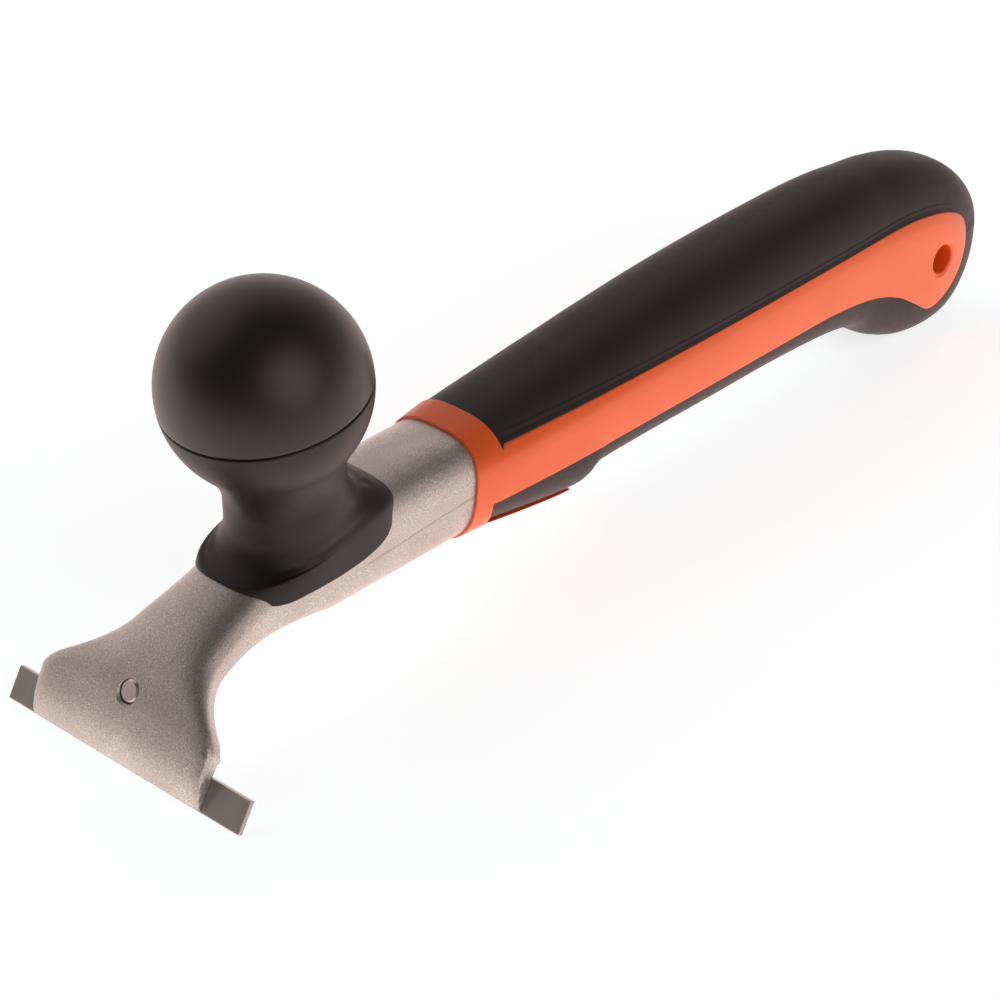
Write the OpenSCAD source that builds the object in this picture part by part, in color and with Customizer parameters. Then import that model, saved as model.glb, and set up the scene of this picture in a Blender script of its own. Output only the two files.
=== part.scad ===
// Pull scraper with a carbide blade, a ball knob over the head and a two-material handle.
// The side view is drawn in X and Z: x starts at the front of the blade's lower edge and
// runs towards the handle, z starts at the surface that the scraper lies on. Every piece
// is then moved so that the middle of the whole tool stands at the origin.

/* [Blade] */
// Length of the cutting edge
blade_w = 65; // [55:1:80]
// Height of the blade strip, from edge to edge
blade_h = 6.9; // [6.4:0.1:7.4]
// Thickness of the blade strip
blade_t = 1.4; // [1.2:0.1:1.8]
// Lean of the blade back from upright, in degrees
blade_lean = 31; // [28:1:34]
// Length of blade that stands out below the head
edge_out = 1.2; // [0.8:0.1:1.5]
// Distance by which the blade is set to one side
blade_shift = 1.2; // [0:0.1:2]
// Width of the ground bevel at each end of the blade
end_bevel = 1.6; // [1:0.1:3]
// Width of the small ground chamfer along each cutting edge
edge_bevel = 0.2; // [0.1:0.05:0.3]

/* [Head] */
// Width of the head's front plate
plate_w = 46.8; // [44:0.2:52]
// Thickness of the front plate
plate_t = 3.8; // [3.4:0.1:4.2]
// Height of the plate's straight ends, measured along the plate
plate_h = 10.2; // [9.8:0.1:10.8]
// Height of the flat seat behind the plate, measured along the plate
seat_h = 17.6; // [17.4:0.1:18]
// Height of the rib that the blade's back edge rests against
rib_t = 0.9; // [0.6:0.1:1.1]
// Width of that rib along the plate
rib_w = 1.9; // [1.5:0.1:2.3]
// Width of the neck at its narrowest
neck_w = 21.2; // [20:0.2:22]

/* [Bar] */
// Distance from the blade to the end of the curved neck
neck_x = 51.4; // [50:0.2:53]
// Width of the bar
bar_w = 23.8; // [23:0.2:25]
// Level of the parting line on the bar's sides
bar_mid = 25.2; // [24.6:0.2:26]
// Height of the bar above its parting line
bar_up = 10.9; // [10:0.1:11.6]
// Depth of the bar below its parting line
bar_down = 12.5; // [11.5:0.1:13]
// Distance from the blade to the shoulder where the handle starts
shoulder_x = 87.4; // [85:0.2:89]
// Forward lean of the shoulder, in degrees
shoulder_lean = 6; // [4:1:8]
// Width of the tang inside the handle
tang_w = 14; // [12:0.5:16]
// Height of the tang
tang_h = 11; // [9:0.5:12]
// Length of the tang behind the shoulder
tang_l = 92; // [70:2:110]
// Diameter of the holes through the tang that lock the moulding
lock_d = 6; // [4:0.5:7]

/* [Clamp] */
// Width of the clamp plate
clamp_w = 39; // [34:0.5:42]
// Height of the clamp plate's straight ends
clamp_side = 7.6; // [6:0.2:8]
// Width of the clamp plate at its heel
clamp_top = 17; // [14:0.5:20]
// Thickness of the clamp plate
clamp_t = 2.5; // [2:0.1:2.8]
// Thread diameter of the clamp screw
screw_d = 5; // [4.6:0.1:5.4]
// Thread pitch of the clamp screw
screw_pitch = 0.8; // [0.7:0.1:1]
// Diameter of the clamp screw's head
screw_head_d = 8; // [7.6:0.1:8.2]
// Height of the clamp screw's head
screw_head_h = 3; // [2.5:0.1:3.4]
// Width across the flats of the hexagon socket
socket_w = 3; // [2.5:0.1:3.2]
// Height of the screw's axis above the lip, measured along the plate
screw_s = 13.2; // [12.9:0.05:13.3]
// Gap round the screw in the clamp plate's hole
screw_gap = 0.3; // [0.2:0.05:0.4]

/* [Knob] */
// Diameter of the ball
ball_d = 42; // [40:0.5:44]
// Distance from the blade to the ball's centre
ball_x = 42.3; // [41:0.1:44]
// Height of the ball's centre
ball_z = 65.4; // [64:0.1:67]
// Lean of the knob towards the blade, in degrees
knob_lean = 10.4; // [8:0.1:13]
// Diameter of the knob's waist
waist_d = 24.6; // [23:0.2:25]
// Distance from the ball's centre down to the waist
waist_drop = 23.8; // [23:0.1:24.6]
// Distance from the ball's centre down to the seam of the cap
seam_drop = 1.2; // [0.5:0.1:2]
// Wall of the knob's two mouldings
knob_wall = 2.6; // [2:0.1:3]
// Length of the saddle along the bar
saddle_l = 40; // [39:0.5:41]
// Width of the saddle over the bar
saddle_w = 26; // [25.6:0.2:27]
// Level of the saddle's lower edge at the sides
saddle_low = 25.5; // [25:0.1:26.2]
// Gap between the saddle and the bar
saddle_gap = 0.25; // [0.2:0.05:0.3]
// Thread diameter of the screw inside the knob
knob_screw_d = 6; // [5:0.5:6]

/* [Handle] */
// Distance from the blade to the rear end of the handle
rear_x = 264.4; // [256:0.2:276]
// Half width of the grip part
grip_half = 14.2; // [13.4:0.1:15]
// Height by which the collar stands proud of the bar
collar_proud = 0.5; // [0.3:0.1:0.8]
// Level of the side panel's lower edge
panel_low = 21.7; // [21:0.1:22.5]
// Level of the side panel's upper edge
panel_high = 33.5; // [33:0.1:34.5]
// Distance from the blade to the front of the top grip
top_grip_x = 95.4; // [93:0.2:98]
// Distance from the blade to the front corner of the lower grip
low_grip_x = 91.8; // [90:0.2:94]
// Distance from the blade to the end of the finger guard
guard_x = 123.4; // [122:0.2:125]
// Thickness of the elastomer
grip_t = 2.4; // [2:0.1:3]
// Step between the side panel and the elastomer beside it
grip_step = 0.5; // [0.3:0.1:0.7]
// Diameter of the hanging hole
hang_d = 6.6; // [6:0.1:7.5]
// Distance from the rear end to the hanging hole's axis
hang_back = 22.5; // [21.5:0.1:23.5]
// Level of the hanging hole's axis
hang_z = 19.3; // [18.5:0.1:20]
// Radius of the hanging hole's rounded rim
hang_rim = 1.2; // [1:0.1:1.6]

/* [Hidden] */
$fn = 64;
// points round each lofted section, and sections per curved stretch
sides = 32;
// length by which a cut runs past the faces that it opens
past = 1;

// Lip of the seat behind the front plate: the blade's edge then touches the surface
lip_x = edge_out * sin(blade_lean);
lip_z = edge_out * cos(blade_lean) + blade_t * sin(blade_lean);
blade_fit = 0.04;
rib_s = blade_h - edge_out + blade_fit;
screw_r = screw_d / 2;
screw_fit = 0.05;
clamp_low = 1.6;
clamp_high = seat_h - 0.15;
heel_w = 1.2;
pocket = 0.5;
// depth of the cuts behind the seat, and how far they run out below the lip
seat_room = 14;
lip_room = 8;
// level on the plate where the flat seat ends outside the pocket
seat_side = plate_h - 1.6;
// length by which the tang is rooted in the bar
tang_root = 6;
screw_tip = plate_t - 0.4;
thread_h = 0.6134 * screw_pitch;

// The knob's own frame: origin at the ball's centre, +Z along its leaning axis
ball_r = ball_d / 2;
waist_r = waist_d / 2;
saddle_x = ball_x + 5.3;
knob_seat = 19;
knob_head_d = 10;
knob_head_h = 5;
washer_t = 1.2;
washer_d = 12.4;
knob_well_d = 13.4;
knob_screw_l = 25;
cap_lip = 3;
cap_fit = 0.2;
bar_top = bar_mid + bar_up;
bar_low = bar_mid - bar_down;

// The plate's front face rolls from the thin lip up to its full thickness
roll = [[0, 0.2], [0.05, 0.38], [0.12, 0.54], [0.22, 0.7], [0.4, 0.87], [0.65, 0.97], [0.94, 1]];

// Rear of the handle and the whole tool's middle
front_x = min([for (r = roll) on_seat(-r[1] * plate_t, r[0] * plate_h)[0]]);
// the sections are drawn from a line a little in front of the seat, which is then cut flat
seat_skin = 0.2;
plate_up = plate_t - seat_skin;
mid_x = (front_x + rear_x) / 2;
hang_x = rear_x - hang_back;

// Curves and lofts

// Point of a smooth curve through four neighbours, u from 0 to 1 between b and c
function through(a, b, c, d, u) =
    (2 * b + (c - a) * u + (2 * a - 5 * b + 4 * c - d) * u * u
    + (3 * b - a - 3 * c + d) * u * u * u) / 2;

// Smooth curve through all rows, with steps points for each stretch
function smooth(rows, steps) = let (last = len(rows) - 1) [
    for (i = [0 : last - 1])
        for (k = [0 : steps - 1])
            through(rows[max(i - 1, 0)], rows[i], rows[i + 1], rows[min(i + 2, last)], k / steps),
    rows[last]];

// Value at t from 0 to 1 along an evenly spaced list
function along(list, t) =
    let (last = len(list) - 1, s = min(t * last, last - 0.0001), i = floor(s))
    through(list[max(i - 1, 0)], list[i], list[i + 1], list[min(i + 2, last)], s - i);

function power(v, e) = sign(v) * pow(abs(v), 2 / e);

// Cross-section: half is the half width, up and down the heights from its widest level,
// and square_up and square_down say how square each half is, 2 being an ellipse; the lower
// half can have a half width of its own
function section(half, up, down, square_up, square_down, half_down) = [
    for (i = [0 : sides - 1])
        let (a = 360 * i / sides, top = sin(a) >= 0, e = top ? square_up : square_down,
            w = top || half_down == undef ? half : half_down)
        [w * power(cos(a), e), (top ? up : down) * power(sin(a), e)]];

// The section stood at x and z, leaning back to the front by lean degrees
function stand(shape, x, z, lean) = [
    for (p = shape) [x - p[1] * sin(lean), p[0], z + p[1] * cos(lean)]];

// Closed solid through a list of sections with equal numbers of points
module loft(rings) {
    n = len(rings[0]);
    m = len(rings);
    sides_of = [for (j = [0 : m - 2]) for (i = [0 : n - 1]) let (k = (i + 1) % n)
        each [[j * n + i, (j + 1) * n + i, (j + 1) * n + k], [j * n + i, (j + 1) * n + k, j * n + k]]];
    first = [[for (i = [0 : n - 1]) i]];
    last = [[for (i = [n - 1 : -1 : 0]) (m - 1) * n + i]];
    polyhedron(points = [for (r = rings) each r], faces = concat(first, sides_of, last), convexity = 6);
}

// Outline in the side view, cut through the whole width
module side_cut(width) {
    rotate([90, 0, 0]) linear_extrude(height = width, center = true) children();
}

// Head

// Point d behind the seat and s up along the front plate, in the side view
function on_seat(d, s) = [
    lip_x + d * cos(blade_lean) + s * sin(blade_lean),
    lip_z - d * sin(blade_lean) + s * cos(blade_lean)];

// Half width of the clamp plate at s, above its straight ends
function clamp_half(s) = clamp_w / 2
    - (s - clamp_side) * (clamp_w - clamp_top) / 2 / (clamp_high - clamp_side);

// Frame of the seat: X is square to the plate and points back, Z runs up along it
module seat_frame() {
    translate([lip_x, 0, lip_z]) rotate([0, blade_lean, 0]) children();
}

// Neck: from the top of the plate it bends level into the bar
neck_from = on_seat(-seat_skin, plate_h);
neck_to = [neck_x, bar_mid];
neck_a = neck_from + 6 * [sin(blade_lean), cos(blade_lean)];
neck_b = neck_to - [25, 0];
function neck_at(t) = pow(1 - t, 3) * neck_from + 3 * pow(1 - t, 2) * t * neck_a
    + 3 * (1 - t) * t * t * neck_b + pow(t, 3) * neck_to;
function neck_dir(t) = pow(1 - t, 2) * (neck_a - neck_from) + 2 * (1 - t) * t * (neck_b - neck_a)
    + t * t * (neck_to - neck_b);

// Shares along the neck, from the plate to the bar: width left over from the plate, width
// gained towards the bar, and how far crown and belly have grown to those of the bar
plate_share = [1, 0.85, 0.58, 0.32, 0.14, 0.07, 0.02, 0, 0, 0, 0];
bar_share = [0, 0, 0, 0, 0, 0, 0, 0, 0.15, 0.65, 1];
crown_share = [0, 0.03, 0.07, 0.11, 0.15, 0.18, 0.2, 0.27, 0.5, 0.85, 1];
belly_share = [0.045, 0.09, 0.143, 0.203, 0.27, 0.34, 0.42, 0.536, 0.67, 0.82, 1];
neck_steps = 20;

// Sections from the lip of the plate to the shoulder, swollen by gap on every side
function head_rings(gap) = concat(
    [for (r = roll) let (p = on_seat(-seat_skin, r[0] * plate_h))
        stand(section(plate_w / 2 + gap, r[1] * plate_t - seat_skin + gap, 1 + gap, 9, 12),
            p[0], p[1], 90 - blade_lean)],
    [for (k = [0 : neck_steps]) let (t = k / neck_steps, p = neck_at(t), v = neck_dir(t))
        stand(section(
            neck_w / 2 + (plate_w - neck_w) / 2 * along(plate_share, t)
                + (bar_w - neck_w) / 2 * along(bar_share, t) + gap,
            plate_up + (bar_up - plate_up) * along(crown_share, t) + gap,
            bar_down * along(belly_share, t) + gap,
            2.3 + 5 * pow(1 - t, 6) + 0.8 * pow(t, 4), 4.6 - 2.2 * pow(t, 3) + 6 * pow(1 - t, 4)),
            p[0], p[1], atan2(v[1], v[0]))],
    [for (x = [61, 73]) stand(bar_section(gap), x, bar_mid, 0)],
    [stand(bar_section(gap), shoulder_x, bar_mid, -shoulder_lean)]);

function bar_section(gap) = section(bar_w / 2 + gap, bar_up + gap, bar_down + gap, 3.1, 2.4);

// Tang behind the shoulder, with its locking holes narrowed by fit
module tang(fit) {
    difference() {
        translate([shoulder_x - tang_root, -tang_w / 2, bar_mid - tang_h / 2])
            cube([tang_l + tang_root, tang_w, tang_h]);
        for (x = [0.35, 0.8]) translate([shoulder_x + tang_l * x, 0, bar_mid])
            rotate([90, 0, 0]) cylinder(d = lock_d - 2 * fit, h = tang_w + 2 * past, center = true);
    }
}

module head_casting() color([0.5, 0.47, 0.45]) translate([-mid_x, 0, 0]) {
    difference() {
        union() {
            loft(head_rings(0));
            tang(0);
        }
        // flat seat for the blade, open at both sides
        seat_frame() translate([0, -plate_w, -lip_room])
            cube([seat_room, 2 * plate_w, seat_side + lip_room]);
        // pocket for the clamp plate, between the sides of the neck
        seat_frame() rotate([0, 90, 0]) linear_extrude(height = seat_room) polygon([
            [past, -clamp_w / 2 - pocket], [past, clamp_w / 2 + pocket],
            [-clamp_side, clamp_w / 2 + pocket], [-seat_h, clamp_half(seat_h) + pocket],
            [-seat_h, -clamp_half(seat_h) - pocket], [-clamp_side, -clamp_w / 2 - pocket]]);
        // tapped hole of the clamp screw, through the plate
        seat_frame() translate([-15, 0, screw_s]) rotate([0, 90, 0]) cylinder(r = screw_r, h = 15 + past);
        // tapped hole of the knob's screw, blind
        knob_frame() translate([0, 0, -knob_seat - knob_screw_l - 1])
            cylinder(d = knob_screw_d, h = knob_screw_l);
    }
    // rib that carries the back edge of the blade
    seat_frame() translate([-0.5, -clamp_w / 2, rib_s]) cube([0.5 + rib_t, clamp_w, rib_w]);
}

// Blade and clamp

// Strip with a chamfer along the front of each edge, and ground ends
module blade() color([0.45, 0.41, 0.4]) translate([-mid_x, 0, 0]) seat_frame()
    translate([blade_fit, -blade_shift, -edge_out]) difference() {
        rotate([90, 0, 0]) linear_extrude(height = blade_w, center = true) polygon([
            [0, edge_bevel], [0.6 * edge_bevel, 0], [blade_t - blade_fit, 0],
            [blade_t - blade_fit, blade_h], [0.6 * edge_bevel, blade_h], [0, blade_h - edge_bevel]]);
        for (side = [-1, 1]) translate([0, side * blade_w / 2, -past])
            linear_extrude(height = blade_h + 2 * past)
            polygon([[-past, side * past], [0.45 * blade_t, side * past], [0.45 * blade_t, 0],
                [0, -side * end_bevel], [-past, -side * end_bevel]]);
    }

// Bent plate: its front edge holds the blade, its heel bears on the seat behind the screw
module clamp_plate() color([0.2, 0.2, 0.21]) translate([-mid_x, 0, 0]) seat_frame()
    difference() {
        intersection() {
            rotate([90, 0, 0]) translate([blade_t + blade_fit, 0, 0])
                linear_extrude(height = clamp_w, center = true) polygon([
                [0, clamp_low], [clamp_t * 0.4, clamp_low], [clamp_t, clamp_low + clamp_t * 0.8],
                [clamp_t, clamp_high - 0.5], [clamp_t - 0.5, clamp_high],
                [-blade_t - blade_fit, clamp_high], [-blade_t - blade_fit, clamp_high - heel_w],
                [0, clamp_high - heel_w]]);
            // outline seen square to the plate
            rotate([0, 90, 0]) linear_extrude(height = 30, center = true) polygon([
                [0, -clamp_w / 2], [0, clamp_w / 2], [-clamp_side, clamp_w / 2],
                [-clamp_high - past, clamp_half(clamp_high + past)],
                [-clamp_high - past, -clamp_half(clamp_high + past)],
                [-clamp_side, -clamp_w / 2]]);
        }
        translate([-past, 0, screw_s]) rotate([0, 90, 0])
            cylinder(r = screw_r + screw_gap, h = blade_t + clamp_t + 2 * past);
    }

// The head bears on the back of the clamp plate, the thread runs in the front plate
module clamp_screw() color([0.25, 0.25, 0.26]) translate([-mid_x, 0, 0]) seat_frame()
    translate([0, 0, screw_s]) rotate([0, 90, 0]) difference() {
        rotate_extrude() polygon([
            [0, -screw_tip], [screw_r - screw_fit - thread_h, -screw_tip],
            [screw_r - screw_fit, -screw_tip + thread_h],
            [screw_r - screw_fit, blade_t + blade_fit + clamp_t],
            [screw_head_d / 2, blade_t + blade_fit + clamp_t],
            [screw_head_d / 2, blade_t + blade_fit + clamp_t + screw_head_h - 0.5],
            [screw_head_d / 2 - 0.5, blade_t + blade_fit + clamp_t + screw_head_h],
            [0, blade_t + blade_fit + clamp_t + screw_head_h]]);
        translate([0, 0, blade_t + clamp_t + screw_head_h - 2])
            cylinder(d = socket_w / cos(30), h = 2 + past, $fn = 6);
    }

// Knob

module knob_frame() {
    translate([ball_x, 0, ball_z]) rotate([0, -knob_lean, 0]) children();
}

// Radius of the knob's outside at depth h below the ball's centre
neck_top = 14.2;
neck_top_r = sqrt(ball_r * ball_r - neck_top * neck_top);
function throat(k) = let (u = k / 8) [
    waist_r + (neck_top_r - waist_r) * pow(1 - sin(90 * u), 1.15),
    -(neck_top + (waist_drop - neck_top) * u)];

// Sections of the flare between the waist and the saddle's rim, as rows of x from the
// saddle's middle, level below the waist, lean, length to the rear and to the front, half
// width, and squareness at the rear and at the front
waist_x = ball_x + waist_drop * sin(knob_lean);
waist_z = ball_z - waist_drop * cos(knob_lean);
flare_rows = smooth([
    [waist_x - saddle_x, 0.3, knob_lean, waist_r + 0.1, waist_r + 0.1, waist_r + 0.1, 2, 2],
    [-0.8, 3, 11, waist_r + 0.4, waist_r + 0.1, waist_r + 0.12, 2, 2],
    [-0.1, 5.7, 11.7, 0.335 * saddle_l, 0.335 * saddle_l, waist_r + 0.15, 2.2, 2],
    [0.2, 7.4, 13, 0.4 * saddle_l, 0.375 * saddle_l, waist_r + 0.25, 2.6, 2],
    [0.2, 8.6, 12.3, 0.45 * saddle_l, 0.408 * saddle_l, saddle_w / 2 - 0.45, 3.2, 2],
    [0.1, 9.5, 10.5, 0.486 * saddle_l, 0.43 * saddle_l, saddle_w / 2 - 0.2, 4.2, 2],
    [0, 10.4, 9, 0.5 * saddle_l, 0.466 * saddle_l, saddle_w / 2 - 0.05, 5, 2.2],
    [0, 12, 7, 0.505 * saddle_l, 0.492 * saddle_l, saddle_w / 2, 5.5, 2.8],
    [0, 22, 0, 0.505 * saddle_l, 0.5 * saddle_l, saddle_w / 2, 5.5, 3.4]], 2);

function flare_rings() = [for (r = flare_rows)
    [for (p = section(r[5], r[3], r[4], r[6], r[7]))
        [saddle_x + r[0] + p[1] * cos(r[2]), p[0], waist_z - r[1] + p[1] * sin(r[2])]]];

// Side outline of the saddle: its two flaps hang over the bar's sides
module saddle_outline() {
    x0 = saddle_x - saddle_l / 2;
    x1 = saddle_x + saddle_l / 2;
    low = saddle_low;
    polygon(concat([[x0 - 3, waist_z + 5], [x0 - 3, low + 2.8]],
        smooth([[x0, low + 2.8], [x0 + 1.1, low + 1.7], [x0 + 2.9, low + 0.4], [x0 + 5, low - 0.3],
            [x0 + 8, low - 0.5], [x0 + 12.5, low - 0.2], [x0 + 20.5, low], [x1 - 14, low + 0.5],
            [x1 - 11.3, low + 1], [x1 - 7.2, low + 2.2], [x1 - 4.6, low + 4.2],
            [x1 - 3.4, low + 7.8], [x1 + 1, bar_top + 1]], 2),
        [[x1 + 1, waist_z + 5]]));
}

module knob_base() color([0.16, 0.13, 0.12]) translate([-mid_x, 0, 0]) difference() {
    union() {
        knob_frame() rotate_extrude() polygon(concat(
            [[0, -seam_drop], [ball_r - 0.35, -seam_drop], [ball_r - 0.02, -seam_drop - 0.35]],
            [for (a = [8 : 4 : 40]) [ball_r * cos(a), -ball_r * sin(a)]],
            [for (k = [0 : 8]) throat(k)],
            [[waist_r, -waist_drop - 1.6], [0, -waist_drop - 1.6]]));
        intersection() {
            loft(flare_rings());
            side_cut(2 * saddle_w) saddle_outline();
        }
    }
    // seat over the bar
    loft(head_rings(saddle_gap));
    // bowl under the cap, with the well of the screw
    knob_frame() rotate_extrude() polygon(concat(
        [[0, past], [ball_r - knob_wall, past]],
        [for (a = [4 : 6 : 40]) [(ball_r - knob_wall) * cos(a), -(ball_r - knob_wall) * sin(a)]],
        [[knob_well_d / 2, -12.6], [knob_well_d / 2, -knob_seat], [0, -knob_seat]]));
    knob_frame() translate([0, 0, -knob_seat - 20])
        cylinder(d = knob_screw_d + 0.6, h = 20 + past);
}

// Dome with a lip that snaps into the bowl
module knob_cap() color([0.17, 0.14, 0.13]) translate([-mid_x, 0, 0]) knob_frame()
    rotate_extrude() difference() {
        union() {
            polygon(concat([[0, -seam_drop], [ball_r - 0.4, -seam_drop], [ball_r - 0.02, -seam_drop + 0.4]],
                [for (a = [0 : 5 : 90]) [ball_r * cos(a), ball_r * sin(a)]]));
            translate([0, -seam_drop - cap_lip]) square([ball_r - knob_wall - cap_fit - 0.3, cap_lip + past]);
        }
        polygon(concat([[-past, -seam_drop - cap_lip - past],
            [ball_r - 2 * knob_wall, -seam_drop - cap_lip - past]],
            [for (a = [0 : 6 : 90]) [(ball_r - knob_wall - 1.2) * cos(a) * (a < 1 ? 0.93 : 1),
                (ball_r - knob_wall) * sin(a)]], [[-past, ball_r - knob_wall]]));
    }

module knob_washer() color([0.6, 0.6, 0.6]) translate([-mid_x, 0, 0]) knob_frame()
    translate([0, 0, -knob_seat]) difference() {
        cylinder(d = washer_d, h = washer_t);
        translate([0, 0, -past]) cylinder(d = knob_screw_d + 0.5, h = washer_t + 2 * past);
    }

module knob_screw() color([0.45, 0.45, 0.46]) translate([-mid_x, 0, 0]) knob_frame()
    translate([0, 0, -knob_seat + washer_t]) difference() {
        union() {
            cylinder(d = knob_head_d, h = knob_head_h);
            translate([0, 0, -knob_screw_l]) cylinder(d = knob_screw_d - 2 * screw_fit, h = knob_screw_l + past);
        }
        translate([0, 0, knob_head_h - 3]) cylinder(d = 5 / cos(30), h = 3 + past, $fn = 6);
    }

// Handle

// Rows along the handle: x, half width, top level, bottom level, widest level, squareness of
// the upper and lower halves, and how far the upper half of the elastomer is let in
handle_rows = smooth([
    [94.4, 13.2, 37.7, 12.4, 25.7, 2.8, 2.6, 0.3],
    [105, 13.7, 38.9, 10.9, 25.7, 2.7, 2.7, 0.2],
    [117, grip_half - 0.1, 40.1, 9.2, 25.7, 2.7, 2.7, 0.2],
    [guard_x - 1, grip_half, 40.7, 8.8, 25.7, 2.7, 2.6, 0.2],
    [guard_x + 1.6, grip_half, 40.9, 11, 26, 2.7, 2.7, 0.2],
    [guard_x + 4.6, grip_half, 41.2, 11.9, 26.2, 2.7, 2.7, 0.2],
    [143, grip_half + 0.1, 42.8, 12.1, 26.7, 2.7, 2.7, 0.2],
    [163, grip_half + 0.2, 44.4, 11.8, 27.2, 2.7, 2.7, 0.2],
    [185, grip_half + 0.2, 45.3, 11.7, 27.2, 2.7, 2.7, 0.2],
    [rear_x - 59, grip_half + 0.1, 45.6, 10.6, 26.7, 2.7, 2.8, 0.2],
    [rear_x - 48, grip_half, 45.5, 8.2, 25.7, 2.6, 3, 0.2],
    [rear_x - 40, grip_half - 0.1, 44.9, 3, 24.7, 2.5, 3.2, 0.3],
    [rear_x - 31, grip_half - 0.2, 43.8, -0.1, 23, 2.6, 3.6, 0.5],
    [rear_x - 21, grip_half - 0.6, 41.5, -0.35, 22, 2.6, 4.2, 0.8],
    [rear_x - 12, grip_half - 1.8, 37.6, 0.1, 21, 2.6, 3.3, 1],
    [rear_x - 5, grip_half - 4.3, 31.8, 3.5, 20, 2.4, 2.5, 1],
    [rear_x - 1, grip_half - 8.6, 26, 8.6, 19, 2.2, 2.1, 1],
    [rear_x, grip_half - 12, 21.6, 14.2, 18.6, 2, 2, 1]], 2);

// Sections of the handle's skin; inset pulls it in, and soft rounds the flanks
function handle_rings(inset, soft) = concat(
    [stand(section(bar_w / 2 + collar_proud - inset, bar_up + collar_proud - inset,
        bar_down + collar_proud - inset, 3.1, 2.4), shoulder_x, bar_mid, -shoulder_lean)],
    [for (r = handle_rows) stand(section(r[1] - r[7] * inset, r[2] - r[4] - r[7] * inset,
        r[4] - r[3] - inset, r[5] - soft, r[6] - soft, r[1] - inset), r[0], r[4], 0)]);

// Side panel: a straight band that swells to a round end about the hanging hole
module panel_outline() {
    polygon(concat([[shoulder_x - 8, 60], [top_grip_x - 1.2, 60], [top_grip_x - 0.2, panel_high - 1],
            [top_grip_x + 1, panel_high]],
        smooth([[rear_x - 62, panel_high + 0.4], [rear_x - 52, panel_high + 0.4],
            [rear_x - 42, panel_high + 0.2], [rear_x - 32, panel_high - 0.5],
            [rear_x - 22, panel_high - 2.6], [rear_x - 15, 27.2],
            [rear_x - 12.6, 21.2], [rear_x - 14.4, 14.7], [rear_x - 19.6, 9.9], [rear_x - 26.2, 8],
            [rear_x - 32, 11.4], [rear_x - 39, 16], [rear_x - 47, 19.2], [rear_x - 56, panel_low - 0.8],
            [rear_x - 66, panel_low]], 3),
        [[low_grip_x, panel_low], [low_grip_x + 0.2, 16.6], [low_grip_x + 3, 14.9],
            [guard_x - 3, 10.2], [guard_x - 0.6, 8.9], [guard_x - 1.6, -5], [shoulder_x - 8, -5]]));
}

// Body of the handle under the elastomer
module inner_core() {
    front = handle_rows[0] - [4, 0, 0, 0, 0, 0, 0, 0];
    loft([for (r = concat([front], [for (i = [0 : 2 : len(handle_rows) - 5]) handle_rows[i]]))
        stand(section(r[1] - grip_t, r[2] - r[4] - grip_t, r[4] - r[3] - grip_t, 2.4, 2.4), r[0], r[4], 0)]);
}

// Hanging hole with a rounded rim at both mouths
module hanging_hole() {
    wall = hang_wall();
    translate([hang_x, 0, hang_z]) rotate([90, 0, 0]) {
        cylinder(d = hang_d, h = 4 * grip_half, center = true);
        for (side = [0, 1]) mirror([0, 0, side]) rotate_extrude() polygon(concat(
            [[0, wall / 2 - past], [hang_d / 2 - 0.01, wall / 2 - past]],
            [for (a = [0 : 15 : 90]) [hang_d / 2 + hang_rim * (1 - cos(a)), wall / 2 + hang_rim * sin(a)]],
            [[hang_d / 2 + hang_rim + 3, wall / 2 + hang_rim + 2.5], [0, wall / 2 + hang_rim + 2.5]]));
    }
}

// Length of the hanging hole between its rounded rims
function hang_wall() = 2 * (grip_half - 1.6 - hang_rim);

module handle_core() color([0.96, 0.45, 0.32]) translate([-mid_x, 0, 0]) difference() {
    union() {
        intersection() {
            loft(handle_rings(0, 0));
            side_cut(4 * grip_half) panel_outline();
        }
        inner_core();
    }
    tang(0.1);
    hanging_hole();
}

module grip_overmould() color([0.17, 0.14, 0.14]) translate([-mid_x, 0, 0]) difference() {
    loft(handle_rings(grip_step, 0.15));
    side_cut(5 * grip_half) panel_outline();
    inner_core();
}

head_casting();
blade();
clamp_plate();
clamp_screw();
knob_base();
knob_cap();
knob_screw();
knob_washer();
handle_core();
grip_overmould();
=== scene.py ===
"""Looks of the carbide scraper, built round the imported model. Lengths are in millimetres until
a mesh is made. The tool frame has x = 0 at the front of the blade's lower edge, and MID is the
tool's middle in it, so x - MID is the row frame's x."""
from math import atan2, cos, degrees, pi, radians, sin, sqrt

import bmesh
import bpy
import numpy as np
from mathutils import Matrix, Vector


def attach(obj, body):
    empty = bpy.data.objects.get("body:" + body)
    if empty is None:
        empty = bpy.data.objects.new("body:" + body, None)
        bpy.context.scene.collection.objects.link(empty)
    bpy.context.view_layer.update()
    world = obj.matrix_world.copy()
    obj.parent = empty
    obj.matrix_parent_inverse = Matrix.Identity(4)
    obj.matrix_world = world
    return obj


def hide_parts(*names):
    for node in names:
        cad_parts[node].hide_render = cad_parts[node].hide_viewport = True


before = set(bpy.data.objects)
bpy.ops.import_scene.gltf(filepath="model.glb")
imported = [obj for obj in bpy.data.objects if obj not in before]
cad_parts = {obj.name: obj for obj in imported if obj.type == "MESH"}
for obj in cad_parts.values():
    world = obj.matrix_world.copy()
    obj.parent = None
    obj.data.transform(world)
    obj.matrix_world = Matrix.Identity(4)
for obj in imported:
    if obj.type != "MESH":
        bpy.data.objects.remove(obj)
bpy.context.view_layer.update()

MM = 0.001

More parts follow.
